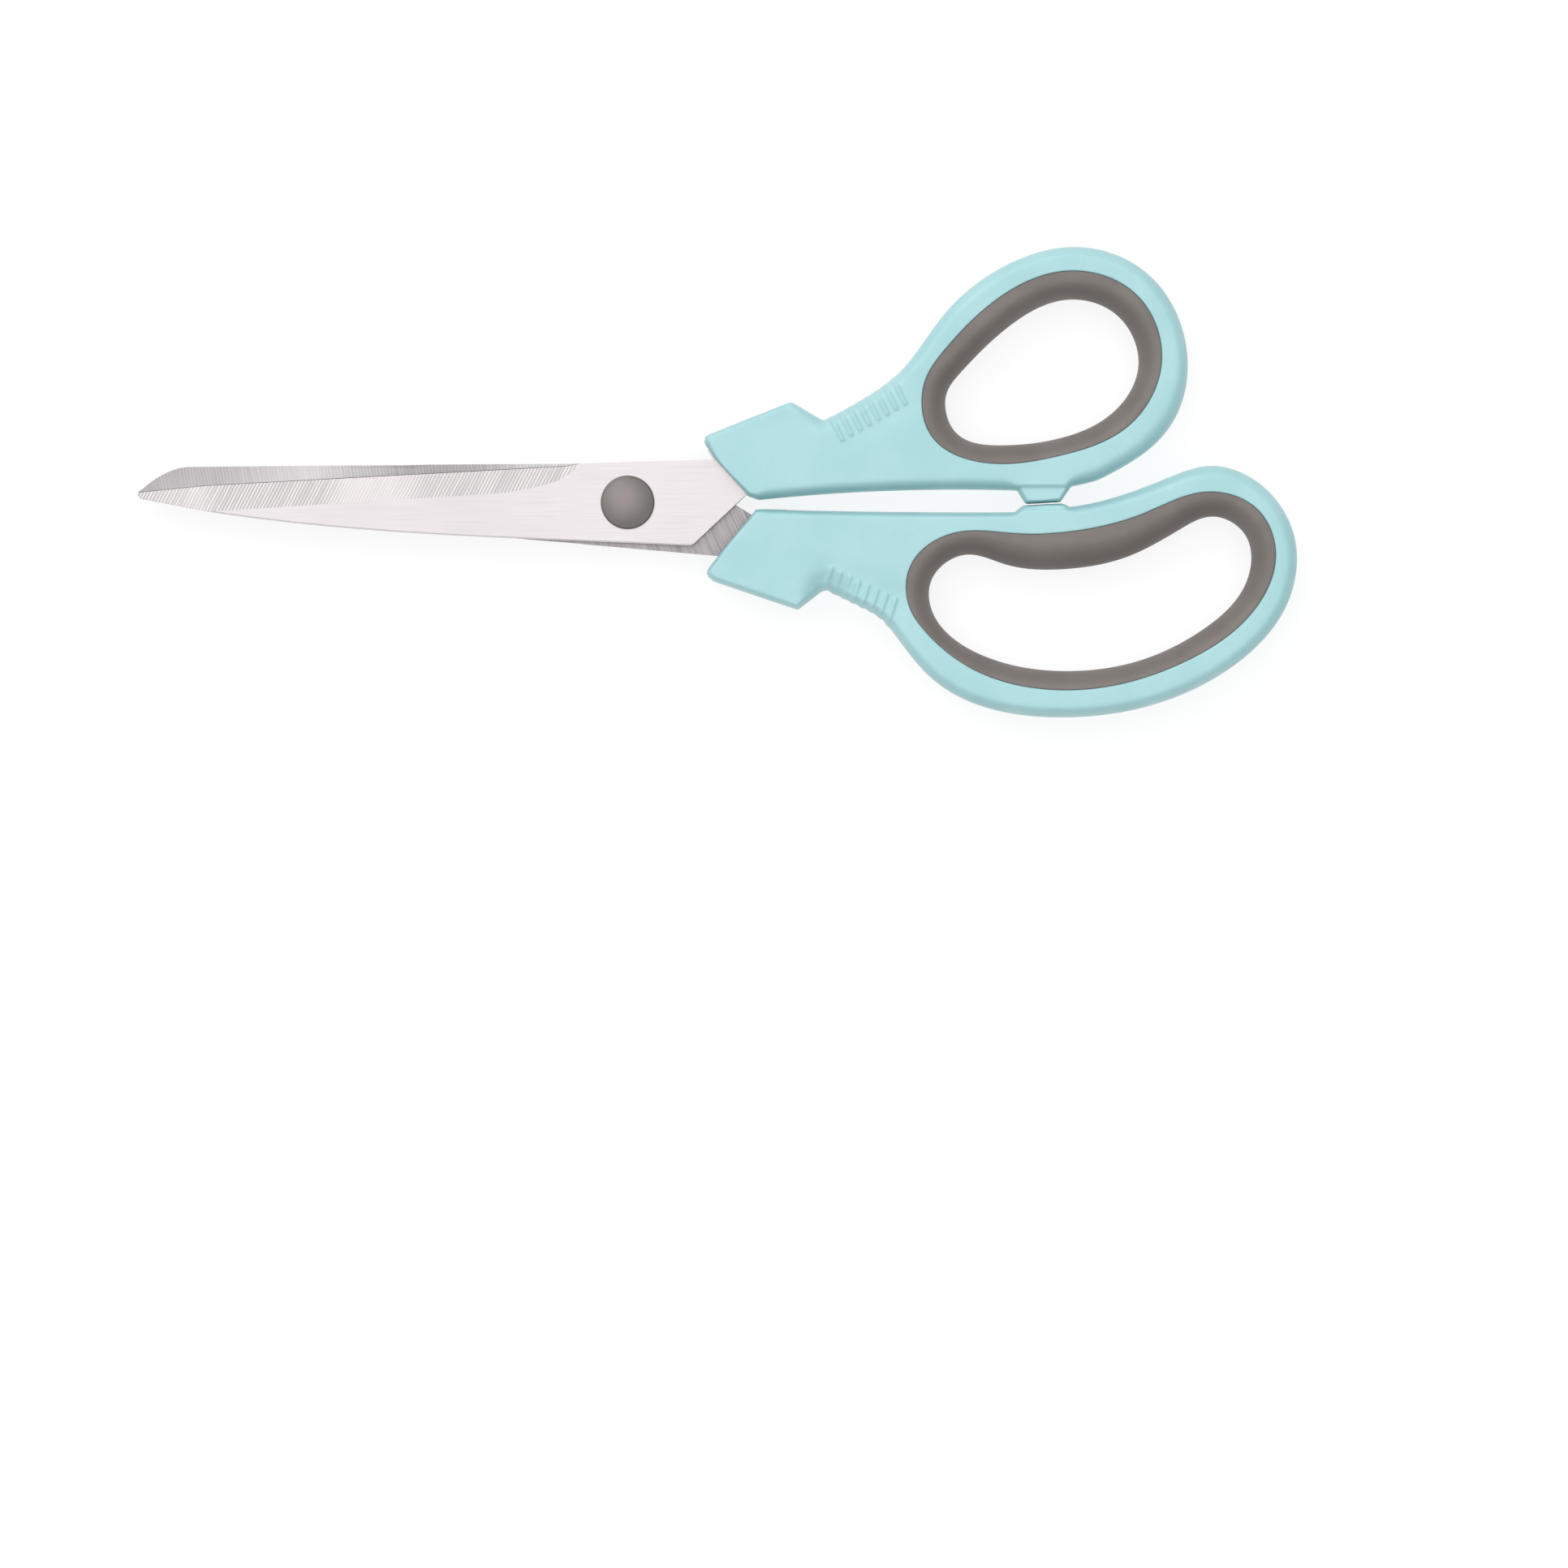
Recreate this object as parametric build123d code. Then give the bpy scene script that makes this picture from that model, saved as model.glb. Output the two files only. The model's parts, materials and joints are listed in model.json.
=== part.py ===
from build123d import *
from math import radians, tan
import os

# Office scissors, closed and lying flat on their side. Millimetres, +Z up.
# The blade tips point to -X and the finger loops to +X. The upper (thumb) half is on +Y and
# carries the front blade, which lies on top of the rear blade of the lower (finger) half.
# The table is z = 0. Outlines are drawn about the pivot axis and moved by PIVOT at the end,
# so that the origin is the centre of the part's footprint.

PIVOT = (-16.75, -3.8, 0)      # pivot axis in the part's frame

# thicknesses
HANDLE_T = 11.0                # handles, lying on the table
MID_Z = HANDLE_T / 2           # plane between the two blades
BLADE_T = 1.9                  # stainless sheet of each blade
BLADE_GAP = 0.1                # running gap between the blades
GRIP_INSET = 0.2               # soft grips stop this far short of the handles' faces

# edge rounding
HANDLE_ROUND = 1.5             # handle rims, top and bottom
GRIP_ROUND = 2.6               # soft grips where the fingers go through
CORNER_ROUND = 1.3             # plan corners of the handle noses

# blade grinds
GRIND_ANGLE = 8.0              # primary grind, below the polished flat
GRIND_LINE = ((-78.0, -1.7), (-25.0, 1.6))    # where the primary grind meets the flat
GRIND_RUNOUT_X = -24.8         # the grinding wheel starts to lift off here
LIFT_OFF = ((0.0, 0.0), (7.3, 0.09), (13.4, 0.32), (16.3, 0.65), (20.0, 1.6))  # its path from there
BEVEL_LINE = ((-95.0, 1.45), (-78.5, 3.1), (-24.8, 6.0), (-17.5, 6.4), (-11.4, 6.73),
              (-8.5, 7.3))     # where the edge bevel starts; it dies out into the edge
EDGE_LINE = ((-95.0, 6.55), (-78.5, 6.7), (-24.8, 7.2), (-17.5, 7.26), (-11.4, 7.32),
             (-8.5, 7.38))     # the sharp edge itself
EDGE_LAND = 0.08               # thickness left at the sharp edge
BEVEL_OVERLAP = 0.01           # the bevel's cutter starts this far inside the primary grind

# pivot hardware, all riding with the front blade
SHANK_R = 2.5                  # screw shank
SHANK_FLATS = 4.2              # across the flats that key it in the front blade
RUN_CLEARANCE = 0.05           # radial clearance in the rear blade
HEAD_R, HEAD_H = 3.6, 0.9
THREAD_R = 2.0
BLADE_WASHER_R = 6.0           # nylon washer let into both blades
BLADE_WASHER_LET_IN = 0.2
SPRING_R, SPRING_T, SPRING_CONE = 4.3, 0.3, 0.2
NUT_FLATS, NUT_H = 6.4, 1.4
CAP_R = 5.0                    # plastic caps over the screw head and the nut
FRONT_CAP_H = 1.6
CAP_WALL = 0.4
CAP_DOME = 0.35                # rise of the domed face
CAP_RIM = 0.6                  # rounding where it meets the side
Z_CLEARANCE = 0.05             # between hardware and the turning rear blade

# tang locks
POST_R = 2.0                   # handle material through each tang hole
FRONT_POSTS = ((25.5, 8.0), (34.0, 9.0))
REAR_POSTS = ((25.5, -8.0), (34.0, -9.0))

FRONT_Z = MID_Z + BLADE_GAP / 2               # inner face of the front blade
REAR_Z = MID_Z - BLADE_GAP / 2                # inner face of the rear blade
FRONT_TOP = FRONT_Z + BLADE_T
REAR_BOTTOM = REAR_Z - BLADE_T


def outline_face(*pieces):
    """The face inside a closed run of lines, arcs and splines."""
    return make_face(Curve() + [edge for piece in pieces for edge in piece.edges()])


def slab(face, low, high):
    """The face as a prism between two heights."""
    return Pos(0, 0, low) * extrude(face, high - low, dir=(0, 0, 1))


def disc(radius, low, high, x=0, y=0):
    """An upright cylinder between two heights."""
    return Pos(x, y, (low + high) / 2) * Cylinder(radius, high - low)


def upright_edge(solid, x, y):
    """The vertical edge nearest to a point of the plan."""
    def distance(edge):
        return (edge.center() - Vector(x, y, edge.center().Z)).length
    return min(solid.edges().filter_by(Axis.Z), key=distance)


# ------------------------------------------------------------------ blades

def front_outline():
    """Blade and tang of the thumb half. The sharp edge is on +Y."""
    tip = ThreePointArc((-90.2, 0.6), (-91.2, 1.45), (-90.5, 2.4))
    nose = Spline((-90.5, 2.4), (-87.0, 5.0), (-84.0, 6.3), (-82.0, 6.65))
    edge = Polyline((-82.0, 6.65), (-45.0, 7.05), (-8.7, 7.25), (16.0, 8.0))
    shoulder = Polyline((16.0, 8.0), (14.9, 9.7), (20.0, 11.3), (37.0, 13.2), (40.0, 10.6),
                        (39.0, 6.0), (22.3, 1.6))
    chevron = Polyline((22.3, 1.6), (12.0, -8.05))
    spine = Spline((12.0, -8.05), (-15.0, -6.9), (-45.0, -5.3), (-78.0, -1.7))
    point = Polyline((-78.0, -1.7), (-90.2, 0.6))
    return outline_face(tip, nose, edge, shoulder, chevron, spine, point)


def rear_outline():
    """Blade and tang of the finger half, with its sharp edge on -Y.

    Closed, it hides behind the front blade except for the ricasso beside the finger handle.
    """
    edge = Polyline((-74.0, -2.0), (17.0, -9.9))
    tang = Polyline((17.0, -9.9), (20.0, -12.2), (37.0, -13.6), (40.0, -11.0), (39.0, -6.4),
                    (23.2, -2.3))
    shoulder = Polyline((23.2, -2.3), (19.5, -0.1), (12.5, 7.2))
    spine = Spline((12.5, 7.2), (-45.0, 6.45), (-80.0, 5.6))
    nose = Spline((-80.0, 5.6), (-86.5, 3.9), (-90.4, 2.2))
    tip = ThreePointArc((-90.4, 2.2), (-90.9, 1.5), (-90.2, 0.95))
    point = Spline((-90.2, 0.95), (-82.0, -0.6), (-74.0, -2.0))
    return outline_face(edge, tang, shoulder, spine, nose, tip, point)


def grind_cutter():
    """Stock removed by the primary grind: a tilted plane that ends in the wheel's run-out."""
    start, end = (Vector(x, y, BLADE_T) for x, y in GRIND_LINE)
    along = (end - start).normalized()
    across = Vector(0, 0, 1).cross(along)
    downhill = across.rotate(Axis((0, 0, 0), tuple(along)), -GRIND_ANGLE)
    ground = Plane(origin=start, x_dir=along, z_dir=-downhill)
    runout = GRIND_RUNOUT_X - start.X
    lift_off = Spline([(runout + reach, rise) for reach, rise in LIFT_OFF],
                      tangents=[(1, 0), (1, 0.35)])
    box = Polyline(lift_off @ 1, (runout + LIFT_OFF[-1][0], 9.0), (-30.0, 9.0), (-30.0, 0.0),
                   (runout, 0))
    return extrude(ground * outline_face(lift_off, box), 30.0, both=True)


def bevel_cutter():
    """Stock removed by the edge bevel: ruled from its start line down to the sharp edge."""
    start, end = (Vector(x, y) for x, y in GRIND_LINE)
    along = (end - start).normalized()
    lifted = {round(GRIND_RUNOUT_X + reach, 3): rise for reach, rise in LIFT_OFF}
    sections = []
    for (line_x, line_y), (edge_x, edge_y) in zip(BEVEL_LINE, EDGE_LINE):
        offset = Vector(line_x, line_y) - start
        below_flat = (along.X * offset.Y - along.Y * offset.X) * tan(radians(GRIND_ANGLE))
        line_z = BLADE_T - below_flat + lifted.get(line_x, 0.0)
        above = BEVEL_OVERLAP * (line_z - EDGE_LAND) / (edge_y - line_y)
        sections.append(Wire.make_polygon([
            Vector(line_x, line_y - BEVEL_OVERLAP, line_z + above),
            Vector(edge_x, edge_y, EDGE_LAND),
            Vector(edge_x, edge_y + 1.0, EDGE_LAND),
            Vector(edge_x, edge_y + 1.0, BLADE_T + 2.0),
            Vector(line_x, line_y - BEVEL_OVERLAP, BLADE_T + 2.0)], close=True))
    return Solid.make_loft(sections, ruled=True)


def ground_blade(face):
    """A blade lying on z = 0 with its ground face up and its sharp edge on +Y."""
    return slab(face, 0, BLADE_T) - grind_cutter() - bevel_cutter()


def key_hole(low, high):
    """The double-D section that keys the screw in the front blade."""
    section = Circle(SHANK_R) & Rectangle(SHANK_FLATS, 3 * SHANK_R)
    return slab(section.face(), low, high)


def front_blade():
    blade = Pos(0, 0, FRONT_Z) * ground_blade(front_outline())
    blade = fillet(upright_edge(blade, 12.0, -8.05), 1.5)
    blade -= key_hole(FRONT_Z - 1, FRONT_TOP + 1)
    blade -= disc(BLADE_WASHER_R, FRONT_Z - 1, FRONT_Z + BLADE_WASHER_LET_IN)
    for x, y in FRONT_POSTS:
        blade -= disc(POST_R, FRONT_Z - 1, FRONT_TOP + 1, x, y)
    return blade


def rear_blade():
    turned_over = mirror(rear_outline(), about=Plane.XZ)
    blade = Pos(0, 0, REAR_Z) * (Rot(180, 0, 0) * ground_blade(turned_over))
    blade -= disc(SHANK_R + RUN_CLEARANCE, REAR_BOTTOM - 1, REAR_Z + 1)
    blade -= disc(BLADE_WASHER_R + 0.15, REAR_Z - BLADE_WASHER_LET_IN, REAR_Z + 1)
    for x, y in REAR_POSTS:
        blade -= disc(POST_R, REAR_BOTTOM - 1, REAR_Z + 1, x, y)
    return blade


# ------------------------------------------------------------------ handles and soft grips

def thumb_seat():
    """Window of the thumb handle that the soft grip fills."""
    return outline_face(Spline((54.7, 18.5), (58.6, 10.1), (67.5, 7.15), (80.0, 8.5), (93.0, 14.0),
                               (99.3, 26.0), (94.5, 38.6), (82.0, 42.95), (69.0, 37.9), (58.5, 27.7),
                               periodic=True))


def thumb_hole():
    return outline_face(Spline((59.2, 17.5), (62.5, 12.0), (70.0, 10.7), (80.0, 11.9), (90.0, 16.5),
                               (95.1, 25.5), (91.0, 35.0), (82.0, 37.8), (71.0, 32.8), (61.9, 24.1),
                               periodic=True))


def finger_seat():
    return outline_face(Spline((51.8, -16.5), (54.3, -9.4), (61.0, -5.7), (72.0, -5.85), (83.0, -5.4),
                               (96.0, -2.1), (107.5, 1.85), (117.0, -1.3), (120.5, -9.5),
                               (115.5, -21.3), (104.0, -29.5), (90.0, -34.2), (77.0, -34.75),
                               (64.0, -31.0), (55.0, -23.7), periodic=True))


def finger_hole():
    return outline_face(Spline((56.1, -17.3), (57.8, -12.5), (63.0, -9.7), (70.0, -11.4),
                               (80.0, -12.45), (93.0, -10.1), (103.0, -4.9), (109.0, -2.6),
                               (115.0, -6.0), (115.5, -14.0), (107.0, -23.7), (95.0, -29.5),
                               (81.0, -31.35), (67.0, -28.8), (58.5, -23.2), periodic=True))


def handle_solid(face, seat, corners):
    """A handle blank: plan corners softened, window cut, both rims rounded over."""
    solid = slab(face, 0, HANDLE_T)
    for x, y, radius in corners:
        solid = fillet(upright_edge(solid, x, y), radius)
    rims = [edge for z_face in (solid.faces().sort_by(Axis.Z)[0], solid.faces().sort_by(Axis.Z)[-1])
            for edge in z_face.outer_wire().edges()]
    solid = fillet(rims, HANDLE_ROUND)
    return solid - slab(seat, -1, HANDLE_T + 1)


def thumb_handle(blade):
    end = Polyline((24.4, 0.5), (22.4, 1.2), (16.2, 8.1), (13.6, 12.1), (30.4, 18.8), (36.4, 15.3))
    rim = Spline((36.4, 15.3), (43.5, 19.1), (50.5, 24.2), (59.0, 35.2), (70.0, 44.0), (84.0, 47.6),
                 (96.0, 43.3), (103.4, 32.0), (103.4, 19.2), (97.2, 10.0), (89.0, 4.9), (82.6, 3.0),
                 tangents=[(1, 0.45), (-1, -0.2)])
    bumper = Polyline((82.6, 3.0), (80.6, 0.12), (74.1, -0.25), (72.5, 2.25))
    belly = ThreePointArc((72.5, 2.25), (50.0, 2.25), (24.4, 0.5))
    corners = ((13.6, 12.1, CORNER_ROUND), (30.4, 18.8, 0.8), (24.4, 0.5, 1.0), (22.4, 1.2, 1.0),
               (36.4, 15.3, 0.8), (80.6, 0.12, 0.4), (74.1, -0.25, 0.4))
    return handle_solid(outline_face(end, rim, bumper, belly), thumb_seat(), corners) - blade


def finger_handle(blade):
    end = Polyline((36.7, -16.1), (31.7, -20.0), (16.0, -14.7), (14.2, -13.2), (23.9, -1.25))
    belly = ThreePointArc((23.9, -1.25), (48.0, -1.72), (72.0, -1.8))
    bumper = Polyline((72.0, -1.8), (73.6, -0.52), (81.0, -0.15), (82.3, -0.8))
    rim = Spline((82.3, -0.8), (90.0, 0.8), (100.0, 4.4), (108.5, 6.85), (118.0, 3.3),
                 (124.3, -7.0), (123.0, -18.5), (112.0, -31.0), (97.0, -37.9), (80.0, -40.0),
                 (65.0, -37.6), (55.5, -31.7), (48.5, -23.0), (36.7, -16.1),
                 tangents=[(1, 0.12), (-1, 0.5)])
    corners = ((31.7, -20.0, 0.8), (16.0, -14.7, CORNER_ROUND), (14.2, -13.2, CORNER_ROUND),
               (23.9, -1.25, 0.5), (36.7, -16.1, 0.8), (73.6, -0.52, 0.4), (81.0, -0.15, 0.4))
    return handle_solid(outline_face(end, belly, bumper, rim), finger_seat(), corners) - blade


def soft_grip(seat, hole):
    """A ring of soft rubber, rounded where the fingers go through."""
    low, high = GRIP_INSET, HANDLE_T - GRIP_INSET
    ring = slab(seat, low, high) - slab(hole, low - 1, high + 1)
    inner = [edge for end in (ring.faces().sort_by(Axis.Z)[0], ring.faces().sort_by(Axis.Z)[-1])
             for wire in end.inner_wires() for edge in wire.edges()]
    return fillet(inner, GRIP_ROUND)


# ------------------------------------------------------------------ pivot hardware

WASHER_BOTTOM = REAR_Z - BLADE_WASHER_LET_IN + Z_CLEARANCE
SPRING_TOP = REAR_BOTTOM - Z_CLEARANCE
NUT_TOP = SPRING_TOP - SPRING_T - SPRING_CONE
NUT_BOTTOM = NUT_TOP - NUT_H


def pivot_screw():
    head = disc(HEAD_R, FRONT_TOP, FRONT_TOP + HEAD_H)
    head = fillet(head.edges().sort_by(Axis.Z)[-1], 0.4)
    slot = Pos(0, 0, FRONT_TOP + HEAD_H) * Box(2 * HEAD_R, 0.8, 0.8)
    keyed = key_hole(FRONT_Z + BLADE_WASHER_LET_IN, FRONT_TOP)
    shank = disc(SHANK_R, REAR_BOTTOM, FRONT_Z + BLADE_WASHER_LET_IN)
    thread = disc(THREAD_R, NUT_BOTTOM, REAR_BOTTOM)
    return head + keyed + shank + thread - slot


def blade_washer():
    ring = disc(BLADE_WASHER_R, WASHER_BOTTOM, FRONT_Z + BLADE_WASHER_LET_IN)
    return ring - disc(SHANK_R, WASHER_BOTTOM - 1, FRONT_Z + 1)


def spring_washer():
    """A coned disc that keeps the blades pressed together."""
    inner = THREAD_R + 0.1
    low = SPRING_TOP - SPRING_T - SPRING_CONE
    section = Polyline((inner, 0, low), (inner, 0, low + SPRING_T),
                       (SPRING_R, 0, SPRING_TOP), (SPRING_R, 0, SPRING_TOP - SPRING_T),
                       (inner, 0, low))
    return revolve(make_face(section), Axis.Z)


def pivot_nut():
    hexagon = RegularPolygon(NUT_FLATS / 2, 6, major_radius=False)
    return slab(hexagon.face(), NUT_BOTTOM, NUT_TOP) - disc(THREAD_R, NUT_BOTTOM - 1, NUT_TOP + 1)


def cap_blank(height):
    """A cap standing on z = 0, with a gently domed face and a rounded rim."""
    dome_r = (CAP_R**2 + CAP_DOME**2) / (2 * CAP_DOME)
    blank = disc(CAP_R, 0, height)
    blank = fillet(blank.edges().sort_by(Axis.Z)[-1], CAP_RIM)
    return blank & (Pos(0, 0, height - dome_r) * Sphere(dome_r))


def front_cap():
    return Pos(0, 0, FRONT_TOP) * cap_blank(FRONT_CAP_H) - disc(HEAD_R, FRONT_TOP - 1, FRONT_TOP + HEAD_H)


def rear_cap():
    rim = REAR_BOTTOM - 2 * Z_CLEARANCE
    height = rim - NUT_BOTTOM + CAP_WALL
    cap = Pos(0, 0, rim) * (Rot(180, 0, 0) * cap_blank(height))
    cap -= disc(SPRING_R + 0.1, NUT_TOP, REAR_BOTTOM)
    hexagon = RegularPolygon(NUT_FLATS / 2, 6, major_radius=False)
    return cap - slab(hexagon.face(), NUT_BOTTOM, NUT_TOP)


# ------------------------------------------------------------------ the assembly

front = front_blade()
rear = rear_blade()
nodes = {
    "front_blade": front,
    "rear_blade": rear,
    "thumb_handle": thumb_handle(front),
    "finger_handle": finger_handle(rear),
    "thumb_grip": soft_grip(thumb_seat(), thumb_hole()),
    "finger_grip": soft_grip(finger_seat(), finger_hole()),
    "pivot_screw": pivot_screw(),
    "blade_washer": blade_washer(),
    "spring_washer": spring_washer(),
    "pivot_nut": pivot_nut(),
    "front_cap": front_cap(),
    "rear_cap": rear_cap(),
}

os.makedirs("parts", exist_ok=True)
for name, solid in nodes.items():
    export_step(Pos(*PIVOT) * solid, f"parts/{name}.step")
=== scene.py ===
"""Office scissors: the looks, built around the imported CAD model.

Lengths are in millimetres about the pivot axis until a mesh is made, and in metres after that.
"""

import json
import math

import bmesh
import bpy
import numpy as np
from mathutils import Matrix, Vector
from mathutils.geometry import delaunay_2d_cdt


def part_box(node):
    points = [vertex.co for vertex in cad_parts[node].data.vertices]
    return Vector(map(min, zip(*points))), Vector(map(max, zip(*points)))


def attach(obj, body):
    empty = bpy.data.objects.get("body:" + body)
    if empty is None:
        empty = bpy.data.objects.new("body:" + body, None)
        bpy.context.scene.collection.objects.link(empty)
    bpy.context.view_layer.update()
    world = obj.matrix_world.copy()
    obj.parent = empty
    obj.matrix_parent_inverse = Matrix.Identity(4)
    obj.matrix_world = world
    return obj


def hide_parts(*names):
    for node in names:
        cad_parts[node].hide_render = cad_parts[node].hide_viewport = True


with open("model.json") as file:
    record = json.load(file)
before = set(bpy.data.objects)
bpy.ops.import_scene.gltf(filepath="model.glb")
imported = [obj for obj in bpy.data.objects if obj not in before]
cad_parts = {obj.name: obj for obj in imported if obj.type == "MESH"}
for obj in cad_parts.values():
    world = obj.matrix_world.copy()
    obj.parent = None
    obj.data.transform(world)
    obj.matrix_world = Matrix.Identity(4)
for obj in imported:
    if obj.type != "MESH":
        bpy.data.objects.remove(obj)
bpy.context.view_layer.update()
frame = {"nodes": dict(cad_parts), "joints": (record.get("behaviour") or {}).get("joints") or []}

MM = 0.001
PIVOT = np.array(frame["joints"][0]["pos_m"][:2]) / MM
MID_Z = frame["joints"][0]["pos_m"][2] / MM


def half_thickness(node):
    low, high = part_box(node)
    return (high.z - low.z) / MM / 2


HALF_T = half_thickness("thumb_handle")
SAME_VERTEX = 1e-7             # metres; mesh corners nearer than this are one


def eased(share):
    """A share clipped to 0..1, with no kink at either end."""
    share = np.clip(share, 0, 1)
    return share * share * (3 - 2 * share)


# ------------------------------------------------------------------ camera

VIEW_WIDTH = 292.1             # width of the picture at the blades' height
VIEW_CENTRE = (29.1, -52.4)    # middle of the picture, from the pivot
CAMERA_HEIGHT = 2000.0
SENSOR = 36.0


def make_camera():
    """A long lens looking straight down, the tips to the left."""
    data = bpy.data.cameras.new("camera")
    data.sensor_width = SENSOR
    data.lens = SENSOR * CAMERA_HEIGHT / VIEW_WIDTH
    data.clip_start, data.clip_end = 0.05, 20.0
    camera = bpy.data.objects.new("camera", data)
    x, y = (PIVOT + VIEW_CENTRE) * MM
    camera.location = (x, y, (MID_Z + CAMERA_HEIGHT) * MM)
    bpy.context.scene.collection.objects.link(camera)
    bpy.context.scene.camera = camera


make_camera()


# ------------------------------------------------------------------ outlines

SAME_POINT = 0.004             # outline points nearer than this are one
STRAIGHT_TURN = 0.004          # radians; less is no corner of the CAD's facets
CORNER_TURN = 0.45             # radians; more is a real corner
LONG_SIDE = 2.5                # a side this many times its neighbour is a straight stretch
CURVE_STEP = 0.05              # spacing of the curve before it is evened out
PAIRS_AT_ONCE = 2_000_000      # point and side pairs measured at one time


def section_loops(node, height):
    """Closed outlines of a CAD node cut at a height, anticlockwise, longest first."""
    cut = bmesh.new()
    cut.from_mesh(frame["nodes"][node].data)
    bmesh.ops.remove_doubles(cut, verts=cut.verts[:], dist=SAME_VERTEX)
    made = bmesh.ops.bisect_plane(
        cut, geom=cut.verts[:] + cut.edges[:] + cut.faces[:],
        plane_co=(0, 0, height * MM), plane_no=(0, 0, 1))
    links = {}
    for edge in (item for item in made["geom_cut"] if isinstance(item, bmesh.types.BMEdge)):
        first, second = edge.verts
        links.setdefault(first, []).append(second)
        links.setdefault(second, []).append(first)
    loops = []
    while links:
        start = next(iter(links))
        walk, previous = [start], None
        while True:
            onward = [v for v in links[walk[-1]] if v is not previous]
            previous = walk[-1]
            if not onward or onward[0] is start:
                break
            walk.append(onward[0])
        for vert in walk:
            del links[vert]
        plan = np.array([(v.co.x, v.co.y) for v in walk]) / MM - PIVOT
        loops.append(plan if signed_area(plan) > 0 else plan[::-1])
    cut.free()
    return sorted(loops, key=lambda loop: -abs(signed_area(loop)))


def signed_area(loop):
    ahead = np.roll(loop, -1, 0)
    return 0.5 * np.sum(loop[:, 0] * ahead[:, 1] - ahead[:, 0] * loop[:, 1])


def turns(loop):
    """Turn at each point of a closed outline, in radians."""
    before, after = loop - np.roll(loop, 1, 0), np.roll(loop, -1, 0) - loop
    cross = before[:, 0] * after[:, 1] - before[:, 1] * after[:, 0]
    return np.arctan2(cross, np.sum(before * after, 1))


def side_lengths(loop):
    return np.linalg.norm(np.roll(loop, -1, 0) - loop, axis=1)


def with_supports(loop):
    """Adds points at the ends of long straight sides, so that a curve beside them keeps to itself."""
    lengths = side_lengths(loop)
    points = []
    for i, point in enumerate(loop):
        ahead = loop[(i + 1) % len(loop)]
        before, length, after = lengths[i - 1], lengths[i], lengths[(i + 1) % len(loop)]
        points.append(point)
        if length > LONG_SIDE * before:
            points.append(point + (ahead - point) * before / length)
        if length > LONG_SIDE * after and length > LONG_SIDE * before + after:
            points.append(ahead + (point - ahead) * after / length)
    return np.array(points)


def smooth_outline(loop, step):
    """The outline through the CAD's own points, evenly spaced and without their facets."""
    loop = loop[side_lengths(loop) > SAME_POINT]
    loop = loop[np.abs(turns(loop)) > STRAIGHT_TURN]
    loop = with_supports(loop)
    length = side_lengths(loop)[:, None]
    ahead = (np.roll(loop, -1, 0) - loop) / length
    behind, length_behind = np.roll(ahead, 1, 0), np.roll(length, 1, 0)
    tangent = (ahead * length_behind + behind * length) / (length + length_behind)
    corner = (np.abs(turns(loop)) > CORNER_TURN)[:, None]
    leaving = np.where(corner, ahead, tangent)
    arriving = np.where(corner, behind, tangent)
    curve = []
    for i in range(len(loop)):
        j = (i + 1) % len(loop)
        t = np.linspace(0, 1, max(2, int(length[i, 0] / CURVE_STEP)), endpoint=False)[:, None]
        span = length[i]
        curve.append((2 * t**3 - 3 * t**2 + 1) * loop[i] + (t**3 - 2 * t**2 + t) * span * leaving[i]
                     + (3 * t**2 - 2 * t**3) * loop[j] + (t**3 - t**2) * span * arriving[j])
    curve = np.concatenate(curve)
    along = np.concatenate([[0], np.cumsum(side_lengths(curve))])
    count = int(along[-1] / step)
    wanted = np.arange(count) * along[-1] / count
    closed = np.vstack([curve, curve[:1]])
    return np.stack([np.interp(wanted, along, closed[:, k]) for k in (0, 1)], 1)


def inward_normals(loop):
    """Unit normals that point into an anticlockwise outline."""
    tangent = np.roll(loop, -1, 0) - np.roll(loop, 1, 0)
    tangent /= np.linalg.norm(tangent, axis=1)[:, None]
    return np.stack([-tangent[:, 1], tangent[:, 0]], 1)


def nearest(points, loop):
    """Distance to a closed outline, and the index of the nearest outline point."""
    span = np.roll(loop, -1, 0) - loop
    length2 = np.maximum(np.sum(span**2, 1), 1e-12)
    distance, index = [], []
    for part in np.array_split(points, max(1, len(points) * len(loop) // PAIRS_AT_ONCE)):
        offset = part[:, None] - loop[None]
        share = np.clip(np.sum(offset * span, 2) / length2, 0, 1)
        square = np.sum((offset - share[..., None] * span) ** 2, 2)
        best = np.argmin(square, 1)
        rows = np.arange(len(part))
        distance.append(np.sqrt(square[rows, best]))
        index.append((best + np.round(share[rows, best]).astype(int)) % len(loop))
    return np.concatenate(distance), np.concatenate(index)


def is_inside(points, loop):
    """Even-odd test of points against a closed outline."""
    inside = np.zeros(len(points), bool)
    ahead = np.roll(loop, -1, 0)
    for (x0, y0), (x1, y1) in zip(loop, ahead):
        if y0 == y1:
            continue
        crossing = (points[:, 1] > y0) != (points[:, 1] > y1)
        inside ^= crossing & (points[:, 0] < x0 + (points[:, 1] - y0) * (x1 - x0) / (y1 - y0))
    return inside


def values_along(loop, anchors):
    """A value for each outline point, eased between (x, y, value) anchors near the outline."""
    _, index = nearest(np.array([(x, y) for x, y, _ in anchors]), loop)
    order = np.argsort(index)
    index, value = index[order], np.array([v for _, _, v in anchors])[order]
    index = np.concatenate([[index[-1] - len(loop)], index, [index[0] + len(loop)]])
    value = np.concatenate([[value[-1]], value, [value[0]]])
    place = np.arange(len(loop))
    after = np.searchsorted(index, place, side="right")
    share = (place - index[after - 1]) / np.maximum(index[after] - index[after - 1], 1)
    return value[after - 1] + (value[after] - value[after - 1]) * eased(share)


# ------------------------------------------------------------------ plates with rounded edges

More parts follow.
